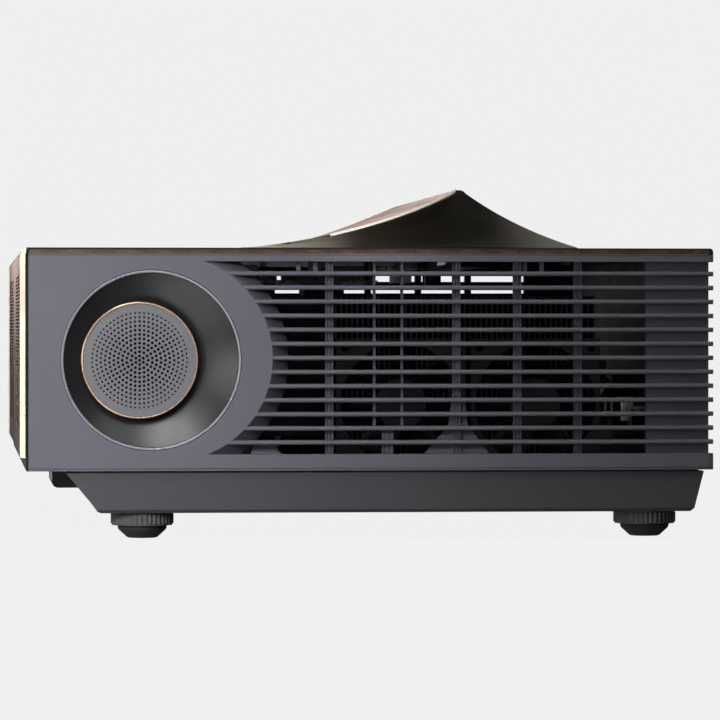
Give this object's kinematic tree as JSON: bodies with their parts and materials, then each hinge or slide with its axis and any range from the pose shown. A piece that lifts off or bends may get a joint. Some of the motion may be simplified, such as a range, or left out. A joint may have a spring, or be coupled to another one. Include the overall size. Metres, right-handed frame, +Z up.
{
  "type": "home projector",
  "caption": "Ultra-short-throw home projector: wide low cabinet with louvred sides, round side speakers, slotted front, timber top with a swept hump and adjustable feet.",
  "frame": {"origin": "centre of the bounding box at the floor, under the feet", "axes": "+X to the viewer's right when facing the front, which is the cabinet's width; +Y to the rear, where the wall is; +Z up"},
  "size_m": [0.54, 0.3808, 0.194],
  "materials": {
    "side_plastic": "satin moulded",
    "base_plastic": "fine texture",
    "walnut": "open-pore walnut veneer, satin lacquer",
    "piano_brown": "high gloss",
    "champagne_metal": "anodised, polished edge",
    "rose_metal": "anodised, brushed along X",
    "black_plastic": "matte",
    "window_glass": "coated",
    "ir_window": "dark red, polished",
    "socket_metal": "plated",
    "silver_ring": "polished",
    "dish_plastic": "satin",
    "copper_ring": "anodised copper tone, chamfered",
    "speaker_metal": "fine blast",
    "driver_black": "cone and basket",
    "foot_plastic": "knurled",
    "foot_rubber": "matte",
    "sink_metal": "black anodised",
    "board_green": "solder mask",
    "engine_metal": "die cast",
    "laser_block": "black anodised",
    "lens_glass": "coated",
    "mirror_face": "coated",
    "steel_bracket": "pressed sheet",
    "screw_steel": "black oxide"
  },
  "bodies": {
    "cabinet": {"base_tray": "base_plastic", "right_side_panel": "side_plastic", "left_side_panel": "side_plastic", "top_deck": "walnut", "hump_slope": "walnut", "hump_wing_right": "piano_brown", "hump_wing_left": "piano_brown", "hump_trims": "champagne_metal", "lens_scoop": "black_plastic", "window_glass": "window_glass", "front_grille": "rose_metal", "front_trims": "champagne_metal", "front_frame": "black_plastic", "front_plate": "rose_metal", "sensor_pod": "black_plastic", "sensor_window": "ir_window", "rear_panel": "black_plastic", "power_inlet": "black_plastic", "hdmi_sockets": "socket_metal", "usb_sockets": "socket_metal", "lan_socket": "socket_metal", "audio_sockets": "black_plastic", "speaker_bezels": "silver_ring", "speaker_dish_right": "dish_plastic", "speaker_dish_left": "dish_plastic", "speaker_rims": "copper_ring", "speaker_grille_right": "speaker_metal", "speaker_grille_left": "speaker_metal", "speaker_driver_right": "driver_black", "speaker_driver_left": "driver_black", "speaker_box_right": "black_plastic", "speaker_box_left": "black_plastic", "fan_frames": "black_plastic", "heat_sink_right": "sink_metal", "heat_sink_left": "sink_metal", "main_board": "board_green", "power_board": "board_green", "engine_housing": "engine_metal", "laser_module": "laser_block", "lens_barrel": "engine_metal", "lens_front": "lens_glass", "focus_motor": "socket_metal", "fold_mirror": "mirror_face", "mirror_bracket": "steel_bracket", "screws": "screw_steel"},
    "foot_wheel_front_right": {"foot_wheel_front_right": "foot_plastic"},
    "foot_wheel_front_left": {"foot_wheel_front_left": "foot_plastic"},
    "foot_wheel_rear_right": {"foot_wheel_rear_right": "foot_plastic"},
    "foot_wheel_rear_left": {"foot_wheel_rear_left": "foot_plastic"},
    "foot_pad_front_right": {"foot_pad_front_right": "foot_rubber"},
    "foot_pad_front_left": {"foot_pad_front_left": "foot_rubber"},
    "foot_pad_rear_right": {"foot_pad_rear_right": "foot_rubber"},
    "foot_pad_rear_left": {"foot_pad_rear_left": "foot_rubber"},
    "fan_rotor_right_front": {"fan_rotor_right_front": "black_plastic"},
    "fan_rotor_right_rear": {"fan_rotor_right_rear": "black_plastic"},
    "fan_rotor_left_front": {"fan_rotor_left_front": "black_plastic"},
    "fan_rotor_left_rear": {"fan_rotor_left_rear": "black_plastic"},
    "power_button": {"power_button": "silver_ring"},
    "focus_ring": {"focus_ring": "black_plastic"},
    "focus_pinion": {"focus_pinion": "socket_metal"}
  },
  "joints": [
    {"name": "foot_pad_front_right_lift", "type": "slide", "parent": "cabinet", "child": "foot_pad_front_right", "axis": [0, 0, -1], "range_m": [0, 0.008]},
    {"name": "foot_wheel_front_right_turn", "type": "hinge", "parent": "foot_pad_front_right", "child": "foot_wheel_front_right", "pos_m": [0.24, -0.1229, 0], "axis": [0, 0, -1], "range_deg": [0, 1920]},
    {"name": "foot_pad_front_left_lift", "type": "slide", "parent": "cabinet", "child": "foot_pad_front_left", "axis": [0, 0, -1], "range_m": [0, 0.008]},
    {"name": "foot_wheel_front_left_turn", "type": "hinge", "parent": "foot_pad_front_left", "child": "foot_wheel_front_left", "pos_m": [-0.24, -0.1229, 0], "axis": [0, 0, -1], "range_deg": [0, 1920]},
    {"name": "foot_pad_rear_right_lift", "type": "slide", "parent": "cabinet", "child": "foot_pad_rear_right", "axis": [0, 0, -1], "range_m": [0, 0.008]},
    {"name": "foot_wheel_rear_right_turn", "type": "hinge", "parent": "foot_pad_rear_right", "child": "foot_wheel_rear_right", "pos_m": [0.24, 0.1564, 0], "axis": [0, 0, -1], "range_deg": [0, 1920]},
    {"name": "foot_pad_rear_left_lift", "type": "slide", "parent": "cabinet", "child": "foot_pad_rear_left", "axis": [0, 0, -1], "range_m": [0, 0.008]},
    {"name": "foot_wheel_rear_left_turn", "type": "hinge", "parent": "foot_pad_rear_left", "child": "foot_wheel_rear_left", "pos_m": [-0.24, 0.1564, 0], "axis": [0, 0, -1], "range_deg": [0, 1920]},
    {"name": "fan_rotor_right_front_spin", "type": "hinge", "parent": "cabinet", "child": "fan_rotor_right_front", "pos_m": [0.2435, 0.0193, 0.0735], "axis": [1, 0, 0], "continuous": true},
    {"name": "fan_rotor_right_rear_spin", "type": "hinge", "parent": "cabinet", "child": "fan_rotor_right_rear", "pos_m": [0.2435, 0.0939, 0.0735], "axis": [1, 0, 0], "continuous": true},
    {"name": "fan_rotor_left_front_spin", "type": "hinge", "parent": "cabinet", "child": "fan_rotor_left_front", "pos_m": [-0.2435, 0.0193, 0.0735], "axis": [1, 0, 0], "continuous": true},
    {"name": "fan_rotor_left_rear_spin", "type": "hinge", "parent": "cabinet", "child": "fan_rotor_left_rear", "pos_m": [-0.2435, 0.0939, 0.0735], "axis": [1, 0, 0], "continuous": true},
    {"name": "power_button_press", "type": "slide", "parent": "cabinet", "child": "power_button", "axis": [0, -1, 0], "range_m": [0, 0.0012], "stiffness_N_per_m": 500, "springref_m": -0.001},
    {"name": "focus_ring_turn", "type": "hinge", "parent": "cabinet", "child": "focus_ring", "pos_m": [0, 0.15, 0.0864], "axis": [0, -0.809, 0.5878], "range_deg": [-30, 30]},
    {"name": "focus_pinion_turn", "type": "hinge", "parent": "cabinet", "child": "focus_pinion", "pos_m": [0.03, 0.15, 0.0864], "axis": [0, -0.809, 0.5878], "range_deg": [-120, 120]}
  ],
  "couplings": [
    {"joint": "foot_wheel_front_right_turn", "follows": "foot_pad_front_right_lift", "rad_per_m": 4188.8},
    {"joint": "foot_wheel_front_left_turn", "follows": "foot_pad_front_left_lift", "rad_per_m": 4188.8},
    {"joint": "foot_wheel_rear_right_turn", "follows": "foot_pad_rear_right_lift", "rad_per_m": 4188.8},
    {"joint": "foot_wheel_rear_left_turn", "follows": "foot_pad_rear_left_lift", "rad_per_m": 4188.8},
    {"joint": "focus_pinion_turn", "follows": "focus_ring_turn", "ratio": -4}
  ]
}
